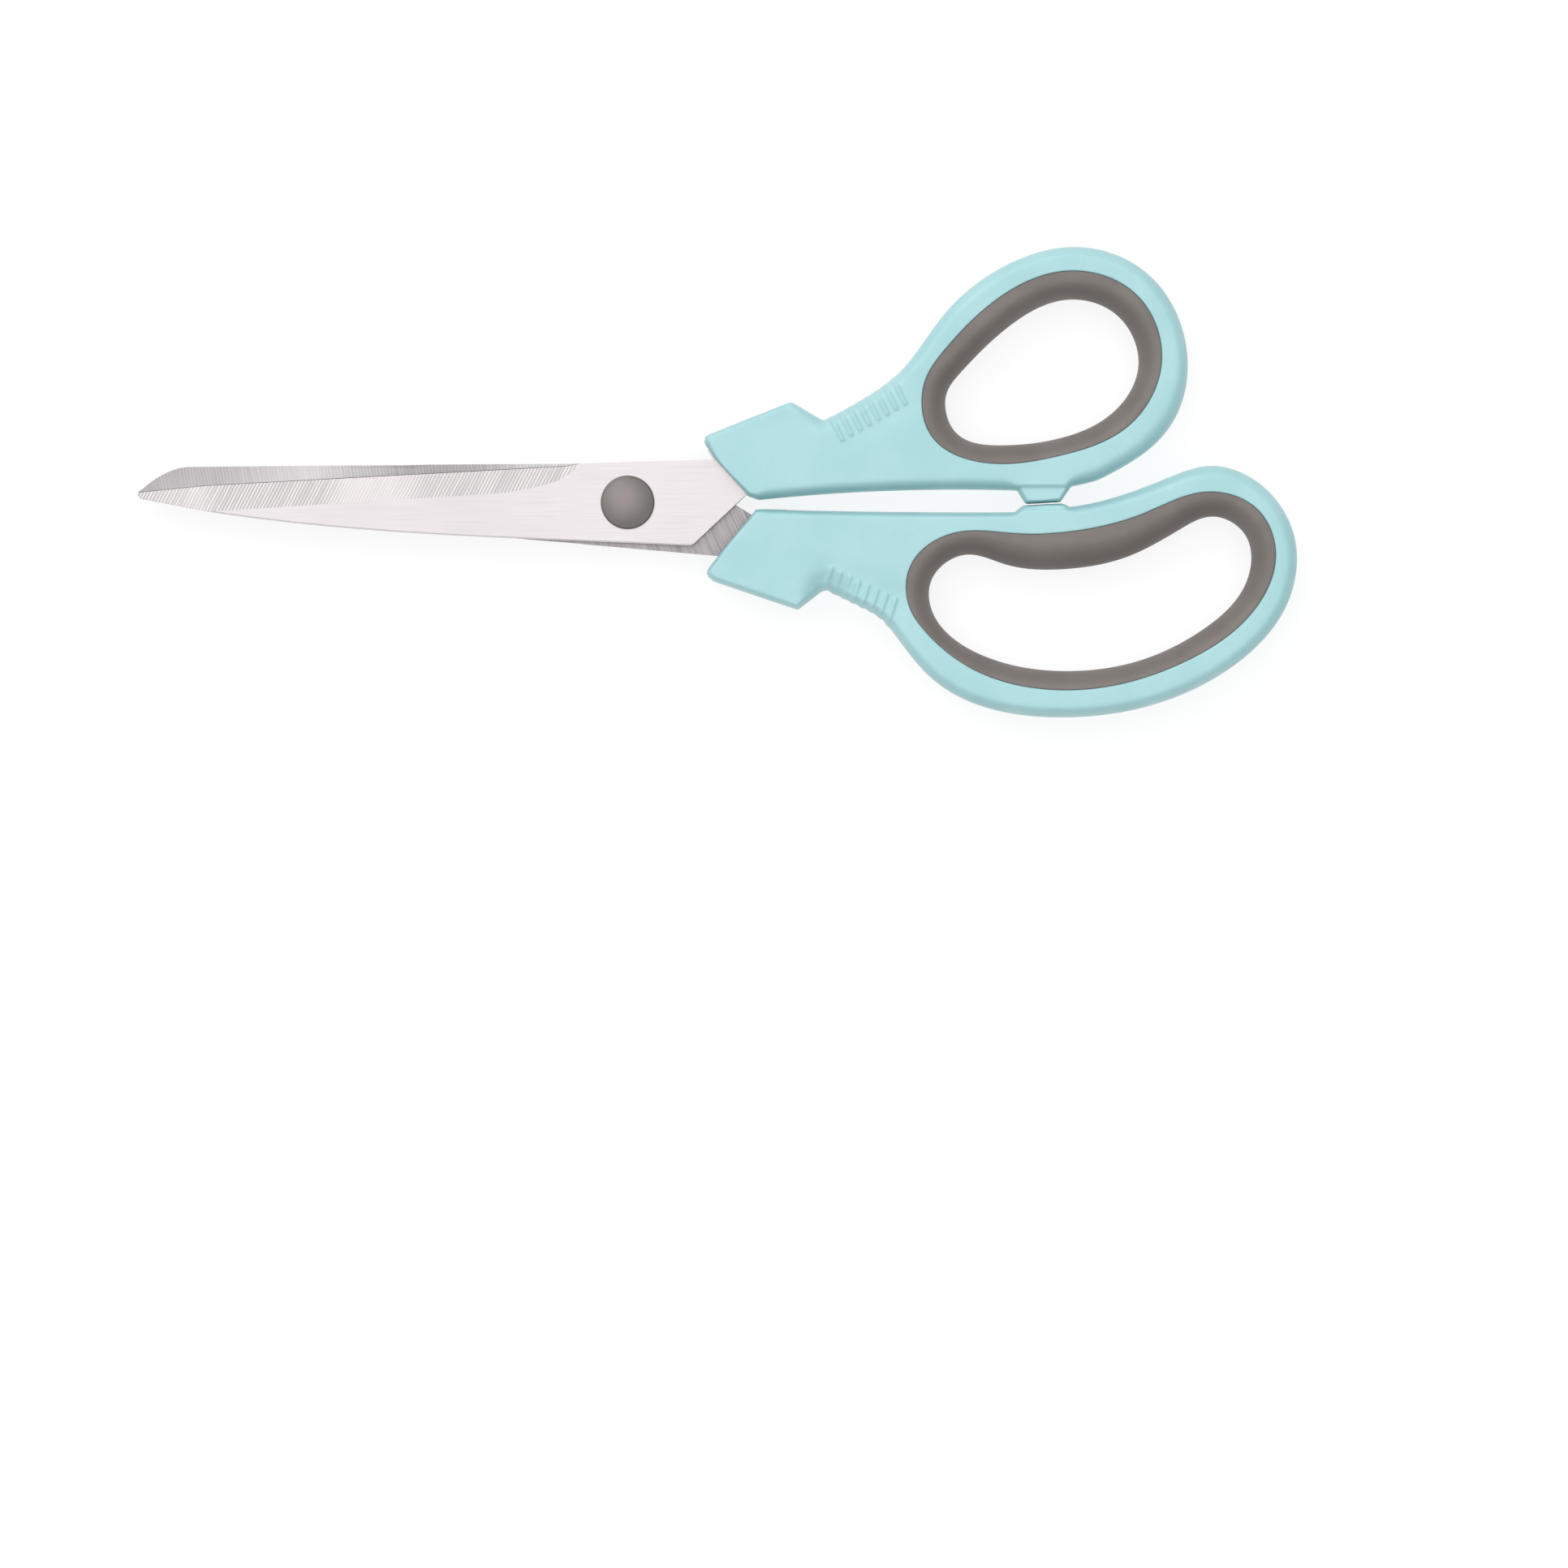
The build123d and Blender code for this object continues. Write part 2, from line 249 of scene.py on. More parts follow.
RING_ANGLES = np.radians((9, 18, 27, 36, 46, 57, 68, 79, 90))
RIM_POWER = 2.4                # how full a rounded rim is; 2 is a circle
ON_OUTLINE = 1e-6              # points this near an outline are on it
RING_KEPT = 0.985              # ring points are dropped where the rings of two sides cross
PLATE_SHARP = math.radians(38)
SHARED_RIM = 0.03              # rims thinner than this on each side are one line of points


def rounded(distance, radius, power=RIM_POWER):
    """Height share of a rounded-over edge: 0 at the outline, 1 from `radius` inwards."""
    short = np.clip(1 - distance / radius, 0, 1)
    return (1 - short**power) ** (1 / power)


def ring_points(loop, radius, towards=1):
    """Points on rings beside an outline, bunched towards it as a rounded edge needs."""
    normals = inward_normals(loop) * towards
    kept = []
    for angle in RING_ANGLES:
        offset = np.broadcast_to(np.asarray(radius) * (1 - math.cos(angle)), len(loop))
        points = loop + normals * offset[:, None]
        distance, _ = nearest(points, loop)
        kept.append(points[distance > RING_KEPT * offset])
    return np.concatenate(kept)


def grid_points(low, high, pitch):
    """A triangular grid of points over a box of the plan."""
    rows = np.arange(low[1], high[1], pitch * math.sqrt(3) / 2)
    columns = np.arange(low[0], high[0], pitch)
    x, y = np.meshgrid(columns, rows)
    x = x + (np.arange(len(rows)) % 2)[:, None] * pitch / 2
    return np.stack([x.ravel(), y.ravel()], 1)


def thin_out(points, spacing):
    """Drops points that share a cell of this size with an earlier one."""
    cells = np.floor(points / spacing).astype(np.int64)
    _, first = np.unique(cells, axis=0, return_index=True)
    return points[np.sort(first)]


def triangles(loops, points):
    """Triangles over the region between the first outline and the others."""
    coords = np.concatenate(loops + [points])
    edges, start = [], 0
    for loop in loops:
        edges += [(start + i, start + (i + 1) % len(loop)) for i in range(len(loop))]
        start += len(loop)
    made = delaunay_2d_cdt([Vector(p) for p in coords], edges, [], 0, 1e-6)
    coords = np.array([(p.x, p.y) for p in made[0]])
    faces = np.array(made[2])
    source = np.array([min(ids, default=-1) for ids in made[3]])
    middle = coords[faces].mean(1)
    keep = is_inside(middle, loops[0])
    for loop in loops[1:]:
        keep &= ~is_inside(middle, loop)
    return coords, faces[keep], source


def plate_mesh(name, loops, points, surface):
    """A closed body, the same above and below its middle plane.

    `surface` takes plan points and gives the moved plan points and their half height.
    """
    coords, faces, source = triangles(loops, points)
    plan, half = surface(coords)
    used = np.unique(faces)
    number = -np.ones(len(coords), int)
    number[used] = np.arange(len(used))
    plan, half, faces, source = plan[used], half[used], number[faces], source[used]
    a, b, c = (plan[faces[:, k]] for k in range(3))
    flip = (b - a)[:, 0] * (c - a)[:, 1] - (b - a)[:, 1] * (c - a)[:, 0] < 0
    faces[flip] = faces[flip][:, ::-1]
    top = np.column_stack([plan + PIVOT, MID_Z + half]) * MM
    bottom = np.column_stack([plan + PIVOT, MID_Z - half]) * MM
    shared = half < SHARED_RIM
    faces = faces[~shared[faces].all(1)]
    below = np.where(shared, np.arange(len(top)), 0)
    below[~shared] = len(top) + np.arange((~shared).sum())
    quads = []
    for low, high in boundary_spans(loops):
        ring = np.flatnonzero((source >= low) & (source < high))
        ring = ring[np.argsort(source[ring])]
        for here, there in zip(ring, np.roll(ring, -1)):
            corners = tuple(dict.fromkeys((here, there, below[there], below[here])))
            if len(corners) > 2:
                quads.append(corners)
    mesh = bpy.data.meshes.new(name)
    mesh.from_pydata([tuple(p) for p in np.concatenate([top, bottom[~shared]])], [],
                     [tuple(f) for f in faces] + [tuple(below[f[::-1]]) for f in faces] + quads)
    mesh.validate()
    tidy = bmesh.new()
    tidy.from_mesh(mesh)
    bmesh.ops.recalc_face_normals(tidy, faces=tidy.faces[:])
    tidy.to_mesh(mesh)
    tidy.free()
    mesh.shade_smooth()
    mesh.set_sharp_from_angle(angle=PLATE_SHARP)
    return mesh


def boundary_spans(loops):
    start = 0
    for loop in loops:
        yield start, start + len(loop)
        start += len(loop)


def add_piece(name, mesh, body, node, *finishes):
    """Links a piece, rides it on its body and stands it in for a CAD node."""
    piece = bpy.data.objects.new(name, mesh)
    bpy.context.scene.collection.objects.link(piece)
    for finish in finishes:
        mesh.materials.append(finish.material)
    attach(piece, body)
    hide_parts(node)
    return piece


# ------------------------------------------------------------------ materials

WAVE_PERIOD = 2 * math.pi / 20     # of a wave texture of scale 1


def linear(*levels):
    """Linear RGBA from sRGB levels of 0 to 255."""
    shares = [level / 255 for level in levels]
    return [s / 12.92 if s <= 0.04045 else ((s + 0.055) / 1.055) ** 2.4 for s in shares] + [1.0]


def deeper(colour, share):
    """A colour with this share of its brightness."""
    return [level * share for level in colour[:3]] + [1.0]


class Nodes:
    """Short calls for building a node tree."""

    def __init__(self, name):
        self.material = bpy.data.materials.new(name)
        self.material.use_nodes = True
        self.tree = self.material.node_tree
        self.shader = self.tree.nodes["Principled BSDF"]
        self.place = self.add("ShaderNodeTexCoord").outputs["Object"]

    def add(self, kind, **settings):
        node = self.tree.nodes.new(kind)
        for key, value in settings.items():
            setattr(node, key, value)
        return node

    def link(self, source, socket):
        self.tree.links.new(source, socket)

    def mapped(self, scale, turn):
        """The place, turned about Z and then stretched."""
        turned = self.add("ShaderNodeVectorRotate", rotation_type="Z_AXIS")
        turned.inputs["Angle"].default_value = turn
        self.link(self.place, turned.inputs["Vector"])
        mapping = self.add("ShaderNodeMapping")
        mapping.inputs["Scale"].default_value = scale
        self.link(turned.outputs["Vector"], mapping.inputs["Vector"])
        return mapping.outputs["Vector"]

    def noise(self, vector, scale, detail=2.0, roughness=0.5):
        node = self.add("ShaderNodeTexNoise")
        node.inputs["Scale"].default_value = scale
        node.inputs["Detail"].default_value = detail
        node.inputs["Roughness"].default_value = roughness
        self.link(vector, node.inputs["Vector"])
        return node.outputs["Fac"]

    def ramp(self, value, low, high, out_low=0.0, out_high=1.0):
        """The value eased from one range to another."""
        node = self.add("ShaderNodeMapRange", interpolation_type="SMOOTHSTEP")
        for socket, number in zip(("From Min", "From Max", "To Min", "To Max"),
                                  (low, high, out_low, out_high)):
            node.inputs[socket].default_value = number
        self.link(value, node.inputs["Value"])
        return node.outputs["Result"]

    def math(self, operation, first, second):
        node = self.add("ShaderNodeMath", operation=operation)
        for socket, value in zip(node.inputs, (first, second)):
            if isinstance(value, (int, float)):
                socket.default_value = value
            else:
                self.link(value, socket)
        return node.outputs["Value"]

    def mix(self, share, first, second):
        """A colour between two colours, each a list or an output."""
        node = self.add("ShaderNodeMix", data_type="RGBA")
        self.link(share, node.inputs["Factor"])
        for socket, colour in ((node.inputs[6], first), (node.inputs[7], second)):
            if isinstance(colour, list):
                socket.default_value = colour
            else:
                self.link(colour, socket)
        return node.outputs[2]

    def bump(self, height, strength, depth):
        """Bump of this depth in millimetres."""
        node = self.add("ShaderNodeBump")
        node.inputs["Strength"].default_value = strength
        node.inputs["Distance"].default_value = depth * MM
        self.link(height, node.inputs["Height"])
        self.link(node.outputs["Normal"], self.shader.inputs["Normal"])

    def axis(self, letter):
        node = self.add("ShaderNodeSeparateXYZ")
        self.link(self.place, node.inputs["Vector"])
        return node.outputs[letter]

    def along_x(self, zones):
        """A level eased between (x in mm from the pivot, level) zones."""
        start, end = zones[0][0], zones[-1][0]
        place = self.add("ShaderNodeMapRange")
        place.inputs["From Min"].default_value = (start + PIVOT[0]) * MM
        place.inputs["From Max"].default_value = (end + PIVOT[0]) * MM
        self.link(self.axis("X"), place.inputs["Value"])
        node = self.add("ShaderNodeValToRGB")
        ramp = node.color_ramp
        while len(ramp.elements) < len(zones):
            ramp.elements.new(0.5)
        for element, (x, level) in zip(ramp.elements, zones):
            element.position = (x - start) / (end - start)
            element.color = (level, level, level, 1)
        self.link(place.outputs["Result"], node.inputs["Fac"])
        return node.outputs["Color"]

    def paint_round_shade(self, centre, start, end, colour):
        """Painted shade: turns the base colour towards another away from a point near the pivot, in
        mm, so that the point looks lit.
        """
        offset = self.add("ShaderNodeVectorMath", operation="SUBTRACT")
        self.link(self.place, offset.inputs[0])
        x, y = (PIVOT + centre) * MM
        offset.inputs[1].default_value = (x, y, 0)
        flat = self.add("ShaderNodeVectorMath", operation="MULTIPLY")
        flat.inputs[1].default_value = (1, 1, 0)
        self.link(offset.outputs["Vector"], flat.inputs[0])
        length = self.add("ShaderNodeVectorMath", operation="LENGTH")
        self.link(flat.outputs["Vector"], length.inputs[0])
        base = self.shader.inputs["Base Color"]
        before = base.links[0].from_socket
        share = self.ramp(length.outputs["Value"], start * MM, end * MM)
        self.link(self.mix(share, before, colour), base)

    def set(self, **values):
        for key, value in values.items():
            self.shader.inputs[key.replace("_", " ")].default_value = value


def moulded(name, light, dark, roughness, grain, depth):
    """Moulded plastic or rubber: soft clouds of colour, a fine spark-eroded grain, faint rubs."""
    nodes = Nodes(name)
    clouds = nodes.noise(nodes.place, 90.0, 3.0)
    fine = nodes.noise(nodes.place, grain, 3.0, 0.6)
    rubs = nodes.noise(nodes.mapped((0.12, 1.0, 1.0), 0.5), 1500.0, 2.0)
    cloudy = nodes.mix(nodes.ramp(clouds, 0.35, 0.65), light, dark)
    specks = nodes.ramp(fine, 0.52, 0.72, 0.0, 0.35)
    nodes.link(nodes.mix(specks, cloudy, deeper(dark, 0.93)), nodes.shader.inputs["Base Color"])
    shine = nodes.math("ADD", nodes.ramp(clouds, 0.3, 0.7, roughness - 0.04, roughness + 0.04),
                       nodes.ramp(rubs, 0.62, 0.75, 0.0, -0.06))
    nodes.link(shine, nodes.shader.inputs["Roughness"])
    nodes.bump(fine, 0.5, depth)
    return nodes


def brushed(name, light, dark, strokes, roughness, depth, wheel=None, zones=None, painted_highlight=None):
    """Ground or brushed steel.

    Each stroke set is (turn, pitch in mm, length ratio, low, high, strength). `wheel` adds
    regular marks as (turn, pitch in mm, strength), and `zones` fades them along the blade.
    The last argument is a lighter colour, a painted highlight, and where along the blade it takes
    over.
    """
    nodes = Nodes(name)
    nodes.set(Metallic=1.0)
    total = None
    for turn, pitch, stretch, low, high, strength in strokes:
        lines = nodes.noise(nodes.mapped((1.0 / stretch, 1.0, 0.02), -turn),
                            1.5 / (pitch * MM), 2.0, 0.6)
        lines = nodes.ramp(lines, low, high, 0.0, strength)
        total = lines if total is None else nodes.math("MAXIMUM", total, lines)
    if wheel:
        turn, pitch, strength = wheel
        wave = nodes.add("ShaderNodeTexWave", bands_direction="Y")
        wave.inputs["Scale"].default_value = WAVE_PERIOD / (pitch * MM)
        wave.inputs["Distortion"].default_value = 1.5
        wave.inputs["Detail"].default_value = 1.0
        wave.inputs["Detail Scale"].default_value = 0.35
        nodes.link(nodes.mapped((1.0, 1.0, 0.0), -turn), wave.inputs["Vector"])
        marks = nodes.ramp(wave.outputs["Fac"], 0.35, 1.0, 0.0, strength)
        marks = nodes.math("MULTIPLY", marks, nodes.along_x(zones))
        total = nodes.math("MAXIMUM", nodes.math("MULTIPLY", total, nodes.along_x(zones)), marks)
    clouds = nodes.noise(nodes.place, 55.0, 2.0)
    if painted_highlight:
        pale, where = painted_highlight
        share = nodes.along_x(where)
        light = cloud = nodes.mix(share, light, pale)
        dark = nodes.mix(share, dark, deeper(pale, 0.6))
    else:
        cloud = deeper(light, 0.965)
    cloudy = nodes.mix(nodes.ramp(clouds, 0.3, 0.7), light, cloud)
    nodes.link(nodes.mix(total, cloudy, dark), nodes.shader.inputs["Base Color"])
    shine = nodes.math("ADD", nodes.ramp(clouds, 0.3, 0.7, roughness, roughness + 0.05),
                       nodes.math("MULTIPLY", total, 0.08))
    nodes.link(shine, nodes.shader.inputs["Roughness"])
    nodes.bump(total, 0.3, -depth)
    return nodes


TEAL = moulded("handle_teal", linear(166, 209, 213), linear(160, 205, 209),
               roughness=0.42, grain=2600.0, depth=0.012)
RUBBER = moulded("grip_rubber", linear(121, 114, 110), linear(115, 108, 104),
                 roughness=0.55, grain=3200.0, depth=0.02)
RUBBER.set(Specular_IOR_Level=0.4)
CAP = moulded("cap_grey", linear(140, 132, 129), linear(136, 128, 125),
              roughness=0.3, grain=1900.0, depth=0.012)
# Painted shade round a painted highlight: the cap darkens from a spot near its middle out to its rim.
CAP.paint_round_shade(centre=(-0.9, 0.7), start=0.5, end=5.6, colour=linear(98, 93, 90))
NYLON = moulded("washer_nylon", linear(225, 222, 212), linear(216, 212, 200),
                roughness=0.5, grain=2400.0, depth=0.01)

GRIND_ZONES = ((-95, 1.0), (-89, 0.95), (-80, 0.6), (-74, 1.0), (-57, 0.9), (-52, 0.3), (-44, 0.35),
               (-38, 0.8), (-12, 0.9), (-5, 0.8))
BEVEL_ZONES = ((-95, 0.6), (-60, 0.4), (-50, 1.0), (-5, 1.0))
# Where along the blade the edge bevel's painted highlight takes over.
BEVEL_HIGHLIGHT_ZONES = ((-95, 0.0), (-75, 0.02), (-50, 0.35), (-22, 0.8))
FLAT = brushed("blade_flat", linear(195, 189, 191), linear(176, 171, 173),
               [(0.01, 0.22, 90.0, 0.45, 0.7, 0.4), (0.0, 0.9, 30.0, 0.55, 0.8, 0.4)],
               roughness=0.28, depth=0.002)
GRIND = brushed("blade_grind", linear(195, 190, 191), linear(128, 125, 125),
                [(1.10, 0.4, 50.0, 0.42, 0.7, 0.45), (1.12, 1.3, 40.0, 0.45, 0.7, 0.45)],
                roughness=0.3, depth=0.005, wheel=(1.10, 0.56, 0.8), zones=GRIND_ZONES)
# The edge bevel is darker steel than the flat, painted shade, and pales towards the pivot into a
# painted highlight.
BEVEL = brushed("blade_bevel", linear(142, 139, 140), linear(100, 98, 99),
                [(1.77, 0.3, 50.0, 0.42, 0.7, 0.6), (1.75, 1.2, 40.0, 0.5, 0.75, 0.45)],
                roughness=0.34, depth=0.005, wheel=(1.77, 0.6, 0.55), zones=BEVEL_ZONES,
                painted_highlight=(linear(240, 237, 238), BEVEL_HIGHLIGHT_ZONES))
# Dark steel for the upright side faces: painted shade along the blade's edges.
EDGE = brushed("blade_edge_painted_shade", linear(110, 106, 105), linear(70, 67, 66),
               [(1.57, 0.3, 20.0, 0.45, 0.7, 0.8)], roughness=0.5, depth=0.01)
# The inner face's colour, darker than the flat's, is painted shade from the front blade over it.
INNER = brushed("blade_inner", linear(156, 151, 153), linear(112, 108, 110),
                [(2.02, 0.22, 60.0, 0.42, 0.7, 0.7), (1.98, 1.1, 60.0, 0.6, 0.66, 0.6)],
                roughness=0.32, depth=0.005)
# Painted highlight on the chamfered lip of the rolled spine: steel much lighter than the flat.
PAINTED_LIP_HIGHLIGHT = brushed("blade_lip_painted_highlight", linear(236, 232, 232), linear(214, 210, 210),
                    [(0.0, 0.3, 40.0, 0.45, 0.7, 0.6)], roughness=0.25, depth=0.002)
HARDWARE = brushed("hardware_steel", linear(200, 198, 195), linear(150, 147, 144),
                   [(0.4, 0.3, 25.0, 0.45, 0.7, 0.8)], roughness=0.3, depth=0.004)


# ------------------------------------------------------------------ handles and grips

GRIP_HALF_T = half_thickness("thumb_grip")
SEAM_ROUND = 0.28              # rounding of both parts along the seam between handle and grip
GRIP_POWER = 1.75              # how full the grip's rounding is; 2 is a circle
RIB_COUNT = 8
RIB_LENGTH = 9.0
RIB_HALF_WIDTH = 0.68
RIB_HEIGHT = 0.32
RIB_ROUND = 1.5                # power of a rib's rounding; more is a narrower crown
RIB_BED = 3.2                  # how far the bed reaches round the ribs
FAR = 99.0                     # stands for a place that no rib reaches

OUTLINE_STEP = 0.45            # spacing of the points along an outline
HANDLE_GRID, GRIP_GRID = 1.15, 0.9
HANDLE_SPACING, GRIP_SPACING = 0.03, 0.05   # points nearer than this are thinned out
FACE_START = 0.5               # the grid of a face starts this far from its outlines
RIB_GRID, RIB_REACH, RIB_START = 0.22, 1.2, 0.12   # finer points round the ribs
RIB_MARGIN = 6                 # how far the fine points go past the ribs' inner ends
STEP_GRID, STEP_REACH, STEP_START = 0.3, 0.2, 0.25   # finer points over the step
RIM_START = 0.35               # the rim's rings stop this far from the seam


class Ribs:
    """A row of raised ribs that run over the rim of a handle.

    `first` is the inner end of the first rib, `row` the way to the last one's, `along` the ribs'
    direction, and `at_edge` how much of their height is left at the handle's outline.
    """

    def __init__(self, first, row, along, at_edge):
        share = np.arange(RIB_COUNT)[:, None] / (RIB_COUNT - 1)
        self.ends = np.array(first) + np.array(row) * share
        self.turn = np.array(along) / np.hypot(*along)
        self.at_edge = at_edge

    def off_axis(self, points):
        """Distance from the nearest rib's centre line."""
        reach = points[:, None] - self.ends[None]
        along = reach @ self.turn
        across = reach @ np.array([-self.turn[1], self.turn[0]])
        gap = np.where(along > 0, np.abs(across), np.hypot(along, across))
        gap = np.where(along > RIB_LENGTH, FAR, gap)
        return gap.min(1)

    def height(self, points, share):
        """The ribs stand in a shallow bed, level with the face around it."""
        off = self.off_axis(points)
        gap = np.clip(off / RIB_HALF_WIDTH, 0, 1)
        inboard = np.clip(share * 1.6 - 0.5, 0, 1)
        fade = self.at_edge + (1 - self.at_edge) * inboard
        bed = eased(1 - (off - RIB_HALF_WIDTH) / RIB_BED)
        return RIB_HEIGHT * (np.cos(gap * math.pi / 2) ** RIB_ROUND * fade - bed * share)


def scoop_depth(points, centre, reach, depth):
    """A soft hollow beside the heel of a handle."""
    return depth * eased(1 - np.linalg.norm((points - centre) / reach, axis=1))


def step_depth(points, low, high, depth, ramp):
    """A face set down inside a box of the plan, with a short slope round it."""
    return depth * eased(np.minimum(points - low, high - points).min(1) / ramp)


def clear_of(points, loop, gap):
    """The points at least this far from an outline."""
    distance, _ = nearest(points, loop)
    return points[distance > gap]


def seam_drop(points, seam):
    """How far the surface falls into the groove along a seam."""
    distance, _ = nearest(points, seam)
    return SEAM_ROUND * (1 - rounded(distance, SEAM_ROUND, 2.0))


def between(points, outer, inner):
    """The points inside the first outline and outside the second."""
    return points[is_inside(points, outer) & ~is_inside(points, inner)]


def rib_points(ribs, outer, seam):
    low, high = ribs.ends.min(0) - RIB_MARGIN, ribs.ends.max(0) + RIB_MARGIN
    points = grid_points(low, high, RIB_GRID)
    points = clear_of(points[ribs.off_axis(points) < RIB_REACH], outer, RIB_START)
    return between(points, outer, seam)


def face_points(outer, inner, pitch):
    points = between(grid_points(outer.min(0), outer.max(0), pitch), outer, inner)
    return clear_of(clear_of(points, outer, FACE_START), inner, FACE_START)


def step_points(step, outer):
    low, high = np.array(step["low"]) - STEP_REACH, np.array(step["high"]) + STEP_REACH
    points = grid_points(low, high, STEP_GRID)
    return clear_of(points[is_inside(points, outer)], outer, STEP_START)


def rim_lean(distance, radius, share):
    """How far a rounded rim leans outwards: 0 where it is level, 1 where it is upright."""
    short = np.clip(1 - distance / radius, 0, 1)
    fall = RIM_POWER - 1
    slope = HALF_T / radius * short**fall * np.maximum(share, 1e-6) ** -fall
    slope = np.where(distance < ON_OUTLINE, 1e6, slope)
    return slope / np.hypot(slope, 1)


def handle_mesh(name, outer, seam, rims, ribs, scoop, step):
    """A handle: rounded rims, a groove along the seam, ribs, a scoop and the bumper's step."""
    radius = values_along(outer, rims)
    rim = between(ring_points(outer, radius), outer, seam)
    groove = ring_points(seam, SEAM_ROUND, -1)
    face = face_points(outer, seam, HANDLE_GRID)
    face = face[ribs.off_axis(face) > RIB_REACH]
    points = [groove, clear_of(rim, seam, RIM_START), rib_points(ribs, outer, seam),
              step_points(step, outer), face]
    points = thin_out(np.concatenate(points), HANDLE_SPACING)

    def surface(plan):
        distance, index = nearest(plan, outer)
        around = radius[index]
        share = rounded(distance, around)
        thick = HALF_T - scoop_depth(plan, **scoop) - step_depth(plan, **step)
        half = thick * share - seam_drop(plan, seam)
        lift = ribs.height(plan, share)
        lean = rim_lean(distance, around, share)
        outward = -inward_normals(outer)[index]
        moved = plan + outward * (lift * lean)[:, None]
        room = np.minimum(half + lift * np.sqrt(1 - lean**2), HALF_T)
        return moved, np.where(distance < ON_OUTLINE, 0.0, np.maximum(room, 0.0))

    return plate_mesh(name, [outer, seam], points, surface)


def grip_mesh(name, seam, hole, rims):
    """A soft grip: flat beside the seam and rounded over into the finger hole."""
    radius = values_along(hole, rims)
    groove = ring_points(seam, SEAM_ROUND)
    rim = between(ring_points(hole, radius, -1), seam, hole)
    points = [groove, clear_of(rim, seam, RIM_START), face_points(seam, hole, GRIP_GRID)]
    points = thin_out(np.concatenate(points), GRIP_SPACING)

    def surface(plan):
        distance, index = nearest(plan, hole)
        share = rounded(distance, radius[index], GRIP_POWER)
        half = GRIP_HALF_T * share - seam_drop(plan, seam)
        return plan, np.where(distance < ON_OUTLINE, 0.0, np.maximum(half, 0.0))

    return plate_mesh(name, [seam, hole], points, surface)


# Radius of the rounded rim near places on the outline: (x, y, radius).
THUMB_RIMS = ((18.5, 5.0, 0.4), (22.6, 0.8, 0.8), (26.0, 1.0, 2.0), (50.0, 1.5, 2.3),
              (70.0, 2.5, 2.4), (72.8, 1.5, 0.8), (77.3, -0.2, 0.6), (81.8, 1.5, 0.8),
              (84.5, 2.8, 2.6), (100.0, 13.0, 3.4), (104.5, 26.0, 2.6), (85.0, 47.0, 2.4),
              (60.0, 33.0, 2.4), (45.0, 19.8, 2.2), (39.0, 16.3, 2.0), (36.3, 15.4, 1.6),
              (33.5, 17.0, 1.3), (30.5, 18.6, 1.0), (20.0, 14.5, 1.0), (14.6, 11.5, 1.0))
FINGER_RIMS = ((19.0, -7.0, 0.4), (23.0, -2.0, 0.7), (27.0, -1.5, 1.3), (50.0, -1.8, 1.4),
               (71.0, -2.0, 1.4), (73.5, -1.0, 0.8), (77.0, -0.3, 0.6), (81.5, -0.8, 0.8),
               (84.0, -1.8, 1.8), (110.0, 6.5, 2.6), (124.0, -10.0, 2.6), (80.0, -39.5, 2.3),
               (55.0, -28.5, 2.0), (47.0, -22.0, 1.6), (40.0, -17.9, 1.5), (37.0, -16.4, 1.4),
               (34.0, -18.2, 1.2), (31.7, -20.0, 1.0), (22.0, -17.0, 1.0), (14.8, -13.5, 1.0))
THUMB_GRIP_RIMS = ((78.0, 39.0, 3.6), (60.0, 19.0, 3.6), (80.0, 10.5, 3.4), (95.0, 26.0, 3.6))
FINGER_GRIP_RIMS = ((80.0, -12.2, 5.0), (57.0, -16.0, 3.6), (80.0, -31.0, 3.4),
                    (115.0, -10.0, 3.6))


def make_handle(which, cut_height, rims, grip_rims, ribs, scoop, step):
    """One half's handle and grip, on outlines cut from the CAD clear of the blade's slot."""
    handle_loops = section_loops(which + "_handle", cut_height)
    outline, seam = (smooth_outline(loop, OUTLINE_STEP) for loop in handle_loops[:2])
    hole = smooth_outline(section_loops(which + "_grip", MID_Z)[1], OUTLINE_STEP)
    shell = handle_mesh(which + "_handle_shell", outline, seam, rims, ribs, scoop, step)
    handle = add_piece(shell.name, shell, which + "_half", which + "_handle", TEAL)
    sleeve = grip_mesh(which + "_grip_sleeve", seam, hole, grip_rims)
    grip = add_piece(sleeve.name, sleeve, which + "_half", which + "_grip", RUBBER)


make_handle("thumb", 2.5, THUMB_RIMS, THUMB_GRIP_RIMS,
            ribs=Ribs(first=(39.9, 11.7), row=(11.7, 6.7), along=(-2.3, 4.4), at_edge=0.25),
            scoop={"centre": (35.8, 16.6), "reach": (4.6, 4.2), "depth": 1.1},
            step={"low": (72.2, -2.0), "high": (82.4, 3.3), "depth": 0.7, "ramp": 0.8})
make_handle("finger", 8.5, FINGER_RIMS, FINGER_GRIP_RIMS,
            ribs=Ribs(first=(37.9, -12.4), row=(11.9, -5.7), along=(-1.5, -4.6), at_edge=0.5),
            scoop={"centre": (37.2, -17.2), "reach": (6.2, 5.4), "depth": 2.0},
            step={"low": (72.0, -1.8), "high": (83.0, 2.0), "depth": 0.5, "ramp": 0.8})


# ------------------------------------------------------------------ blades

